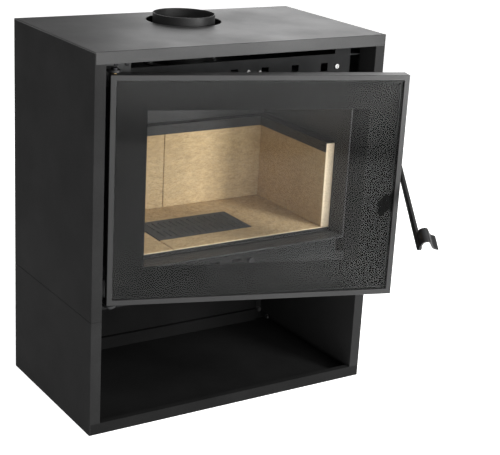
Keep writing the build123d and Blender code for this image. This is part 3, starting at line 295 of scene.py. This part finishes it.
def braid(name, level):
    """Graphited glass-fibre cord: dark fibres with pale ends standing out."""
    mat, shader = new_material(name, 0.85, specular=0.3)
    shader.inputs["Sheen Weight"].default_value = 0.3
    fibres = noise(mat, 900, detail=5, roughness=0.7)
    stops = [(0.3, grey(level * 0.5)), (0.6, grey(level)), (0.8, grey(level * 2.6))]
    link(mat, ramp(mat, fibres, stops), shader.inputs["Base Color"])
    bump(mat, shader, noise(mat, 1400, detail=3), 0.15, 0.6)
    return mat


def dress(mat, *names):
    """Gives CAD nodes their material."""
    for name in names:
        node = NODES[name]
        node.data.materials.clear()
        node.data.materials.append(mat)


CASING = stove_paint("casing_paint", level=0.022, roughness=0.6, specular=0.008)
dress(CASING, "left_side_panel", "right_side_panel", "rear_panel", "casing_floor")
TOP = stove_paint("top_paint", level=0.02, roughness=0.42, specular=0.24)
dress(TOP, "top_panel")
dress(CASING, "base_left_side", "base_right_side")
# a darker copy of the casing paint for the log store's inside: painted shade in the recess
STORE_SHADED_PAINT = stove_paint("store_paint_painted_shade", level=0.013, roughness=0.6, specular=0.008)
dress(STORE_SHADED_PAINT, "base_floor", "base_back_panel", "base_rear_rail")
DOOR_PAINT = stove_paint("door_paint", level=0.018, roughness=0.4, specular=0.3)
dress(DOOR_PAINT, "door_frame")
LEVER_PAINT = stove_paint("lever_paint", level=0.005, roughness=0.38, specular=0.35, grain=0.03)
dress(LEVER_PAINT, "handle_lever", "latch_hook")
SHELL = dark_steel("firebox_steel", level=0.022, roughness=0.5, metallic=0.2, specular=0.3)
dress(SHELL, "firebox_left_side", "firebox_right_side", "firebox_back", "firebox_bottom")
dress(SHELL, "firebox_top", "air_wash_duct", "brick_rails", "baffle_supports")
# a darker, duller copy of the firebox steel for the front panel and its fittings: painted shade
# under the door's top
SHADED_PANEL_STEEL = dark_steel("panel_steel_painted_shade", level=0.012, roughness=0.6, metallic=0.0, specular=0.06)
dress(SHADED_PANEL_STEEL, "firebox_front_panel", "sill_plate", "ash_box", "air_guides", "air_slider")
LIP_STEEL = dark_steel("mouth_steel", level=0.02, roughness=0.48, metallic=0.1, specular=0.2)
dress(LIP_STEEL, "mouth_frame", "latch_keeper")
FITTING = dark_steel("fitting_steel", level=0.025, roughness=0.45, metallic=0.2, specular=0.3)
dress(FITTING, "hinge_bracket_top", "hinge_bracket_bottom", "latch_bracket", "panel_ties")
dress(FITTING, "support_rails", "door_inner_frame", "frame_clips")
COLLAR = stove_paint("collar_paint", level=0.02, roughness=0.45, specular=0.3)
dress(COLLAR, "flue_collar")
BOARD = vermiculite("vermiculite_board")
dress(BOARD, "brick_floor_left", "brick_floor_main", "baffle_plate")
dress(BOARD, "brick_side_left", "brick_side_right", "brick_back_left", "brick_back_right")
dress(cast_iron("cast_iron"), "grate", "grate_frame")
ZINC = plated("zinc", (0.3, 0.3, 0.295), roughness=0.38)
dress(ZINC, "panel_screws", "collar_screws", "base_bolts")
dress(plated("bright_steel", (0.55, 0.55, 0.54), roughness=0.25), "latch_shaft", "shaft_nut")
BLACK_STEEL = plated("black_steel", (0.035, 0.035, 0.037), roughness=0.5)
dress(BLACK_STEEL, "hinge_pins", "hinge_screws", "air_knob")
dress(plated("brass", (0.72, 0.52, 0.24)), "hinge_bushes")
dress(brushed_sheet("galvanised_sheet"), "ash_pan")
dress(clear_glass("clear_glass"), "door_glass")
dress(enamel("black_enamel"), "glass_border")
dress(braid("glass_tape", level=0.2), "glass_gasket")


# ------------------------------------------------------------------ knitted rope seal

ROPE_HALF_WIDTH, ROPE_HALF_DEPTH = 4.75 * MM, 4.2 * MM  # a little flat where the door holds it
ROPE_SEAT, HINGE_DEPTH = 17 * MM, 21.4 * MM  # the cord's line and the hinge, behind the door's face
ROPE_INSET = 2 * MM  # of the cord's line from the mouth frame's edges
ROPE_CORNER = 6 * MM
ROPE_STEP = 1.4 * MM  # from one ring of points to the next
RING_POINTS = 28
CORNER_STEPS = 10
STRANDS, STRAND_RELIEF = 6, 0.07
STRAND_LAY = 0.9  # radians of winding per millimetre of cord

def rope_loop(width, height, corner, step):
    """Points along a rounded rectangle, centred on the origin."""
    points = []
    centres = (
        (width / 2 - corner, height / 2 - corner, 0),
        (corner - width / 2, height / 2 - corner, pi / 2),
        (corner - width / 2, corner - height / 2, pi),
        (width / 2 - corner, corner - height / 2, 3 * pi / 2),
    )
    for index, (x, y, start) in enumerate(centres):
        for turn in range(CORNER_STEPS + 1):
            angle = start + turn * pi / 2 / CORNER_STEPS
            points.append((x + corner * cos(angle), y + corner * sin(angle)))
        next_x, next_y, next_start = centres[(index + 1) % 4]
        last = Vector(points[-1])
        goal = Vector((next_x + corner * cos(next_start), next_y + corner * sin(next_start)))
        count = int((goal - last).length / step)
        for part in range(1, count):
            points.append(tuple(last.lerp(goal, part / count)))
    return points


def rope_seal():
    """The door's rope seal: a knitted cord laid round the mouth's line."""
    low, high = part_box("mouth_frame")
    hinge = Vector(JOINTS["door_swing"]["pos_m"])
    half_width = (high.x - low.x) / 2 - ROPE_INSET
    half_height = (high.z - low.z) / 2 - ROPE_INSET
    mid_along = -hinge.x  # the mouth's middle is at x 0
    mid_z = (high.z + low.z) / 2
    centre_depth = ROPE_SEAT - HINGE_DEPTH
    loop = rope_loop(2 * half_width, 2 * half_height, ROPE_CORNER, ROPE_STEP)
    verts, faces = [], []
    length = 0.0
    for index, point in enumerate(loop):
        here, after = Vector(point), Vector(loop[(index + 1) % len(loop)])
        before = Vector(loop[index - 1])
        heading = (after - before).normalized()
        side = Vector((heading.y, -heading.x))
        lay = length / MM * STRAND_LAY
        for turn in range(RING_POINTS):
            angle = 2 * pi * turn / RING_POINTS
            strand = cos(STRANDS * angle + lay) * cos(STRANDS * angle - lay)
            radius = 1 + STRAND_RELIEF * strand
            across = side * (ROPE_HALF_WIDTH * radius * cos(angle))
            along = mid_along + (here.x + across.x)
            depth = centre_depth + ROPE_HALF_DEPTH * radius * sin(angle)
            height = mid_z + (here.y + across.y) - hinge.z
            verts.append(hinge + ALONG * along + INWARD * depth + UP * height)
        length += (after - here).length
    for index in range(len(loop)):
        this_ring = index * RING_POINTS
        next_ring = (index + 1) % len(loop) * RING_POINTS
        for turn in range(RING_POINTS):
            beside = (turn + 1) % RING_POINTS
            quad = (this_ring + turn, this_ring + beside, next_ring + beside, next_ring + turn)
            faces.append(quad)
    mesh = bpy.data.meshes.new("rope_seal")
    mesh.from_pydata([tuple(v) for v in verts], [], faces)
    mesh.polygons.foreach_set("use_smooth", [True] * len(faces))
    piece = bpy.data.objects.new("rope_seal", mesh)
    bpy.context.collection.objects.link(piece)
    piece.data.materials.append(braid("rope_fibre", level=0.07))
    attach(piece, "door")
    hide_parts("rope_gasket")


rope_seal()


# ------------------------------------------------------------------ floor, lights, camera

FLOOR_HALF = 14
GLOW_FROM_Y, GLOW_FULL_Y = -3.0, -0.6  # where the floor's glow starts to rise, and is full
GLOW_LOW, GLOW_FULL, GLOW_STRENGTH = 0.4, 1.0, 0.8


def floor():
    """A pale floor with a glow of its own, weaker in front, where the door's glass mirrors it."""
    mat, shader = new_material("studio_floor", 0.8, specular=0.1)
    tone = ramp(mat, noise(mat, 3, detail=3), [(0.3, grey(0.83)), (0.7, grey(0.86))])
    link(mat, tone, shader.inputs["Base Color"])
    across = mat.node_tree.nodes.new("ShaderNodeSeparateXYZ")
    link(mat, coordinates(mat), across.inputs["Vector"])
    glow = spread(mat, across.outputs["Y"], 0.0, 1.0, GLOW_FROM_Y, GLOW_FULL_Y)
    glow_stops = [(0.0, grey(GLOW_LOW)), (1.0, grey(GLOW_FULL))]
    link(mat, ramp(mat, glow, glow_stops), shader.inputs["Emission Color"])
    shader.inputs["Emission Strength"].default_value = GLOW_STRENGTH
    half = FLOOR_HALF
    corners = [(-half, -half, 0), (half, -half, 0), (half, half, 0), (-half, half, 0)]
    mesh = bpy.data.meshes.new("studio_floor")
    mesh.from_pydata(corners, [], [(0, 1, 2, 3)])
    piece = bpy.data.objects.new("studio_floor", mesh)
    bpy.context.collection.objects.link(piece)
    piece.data.materials.append(mat)


WORLD_STRENGTH = 0.3
LAMPS = (  # name, place, the point it faces, width and height of its face, radiance
    ("overhead", (0, 0.6, 4.0), (0, 0.6, 0), (5.0, 5.0), 0.8),  # floor and surroundings
    ("strip", (0.74, -1.2, 0.95), (0.0, 0.1, 0.48), (0.26, 0.6), 37),  # into the firebox
    ("kicker", (0.47, -1.7, 0.7), (0.28, -0.13, 0.5), (0.14, 0.5), 22),  # the right board's end
    ("backlight", (2.35, 2.2, 1.65), (0.1, 0, 0.85), (2.6, 1.4), 2.35),  # sheen on the top
    ("front_wall", (0.1, -2.8, 1.0), (0.1, 0, 1.0), (2.6, 2.0), 4.5),  # front faces and the glass
)
WALL_FULL_AT = 0.24  # share of the front wall's height over which it fades in


def softbox(name, place, aim, size, radiance):
    """A rectangular lamp out of the picture, by the brightness of its face."""
    lamp = bpy.data.lights.new(name, "AREA")
    lamp.shape = "RECTANGLE"
    lamp.size, lamp.size_y = size
    lamp.energy = radiance * pi * size[0] * size[1]
    holder = bpy.data.objects.new(name, lamp)
    holder.location = place
    holder.rotation_euler = (Vector(aim) - Vector(place)).to_track_quat("-Z", "Y").to_euler()
    holder.visible_camera = False
    bpy.context.collection.objects.link(holder)
    return lamp


def fade_in(lamp, full_at):
    """Fades a lamp's face in from one edge, up to its full brightness at a share of its height."""
    lamp.use_nodes = True
    nodes, links = lamp.node_tree.nodes, lamp.node_tree.links
    place = nodes.new("ShaderNodeNewGeometry")
    split = nodes.new("ShaderNodeSeparateXYZ")
    fade = nodes.new("ShaderNodeValToRGB")
    links.new(place.outputs["Parametric"], split.inputs["Vector"])
    links.new(split.outputs["Y"], fade.inputs["Fac"])
    links.new(fade.outputs["Color"], nodes["Emission"].inputs["Color"])
    fade.color_ramp.elements[0].position = 0.0
    fade.color_ramp.elements[1].position = full_at


def studio_light():
    """An even pale surround and five soft lamps, none of which shows in the picture."""
    world = bpy.data.worlds.new("studio")
    world.use_nodes = True
    background = world.node_tree.nodes["Background"]
    background.inputs["Color"].default_value = (1, 1, 1, 1)
    background.inputs["Strength"].default_value = WORLD_STRENGTH
    bpy.context.scene.world = world
    lamps = {name: softbox(name, *facts) for name, *facts in LAMPS}
    fade_in(lamps["front_wall"], WALL_FULL_AT)


CAMERA_PLACE = (-1.5321, -2.5803, 1.3810)
CAMERA_ANGLES = (33.312, 18.345, 3.18)  # azimuth, elevation and roll, in degrees
LENS_MM = 93.62


def camera():
    """The photo's viewpoint: to the stove's front left and above it, with a slight roll."""
    azimuth, elevation, roll = (radians(angle) for angle in CAMERA_ANGLES)
    lens = bpy.data.cameras.new("camera")
    lens.lens = LENS_MM
    lens.clip_start, lens.clip_end = 0.05, 60
    holder = bpy.data.objects.new("camera", lens)
    level = cos(elevation)
    forward = Vector((sin(azimuth) * level, cos(azimuth) * level, -sin(elevation)))
    right = Vector((cos(azimuth), -sin(azimuth), 0))
    down = forward.cross(right)
    tilted_right = right * cos(roll) - down * sin(roll)
    tilted_down = right * sin(roll) + down * cos(roll)
    turn = Matrix((tilted_right, -tilted_down, -forward)).transposed()
    holder.matrix_world = Matrix.Translation(Vector(CAMERA_PLACE)) @ turn.to_4x4()
    bpy.context.collection.objects.link(holder)
    bpy.context.scene.camera = holder


floor()
studio_light()
camera()
bpy.context.scene.view_settings.view_transform = "Standard"
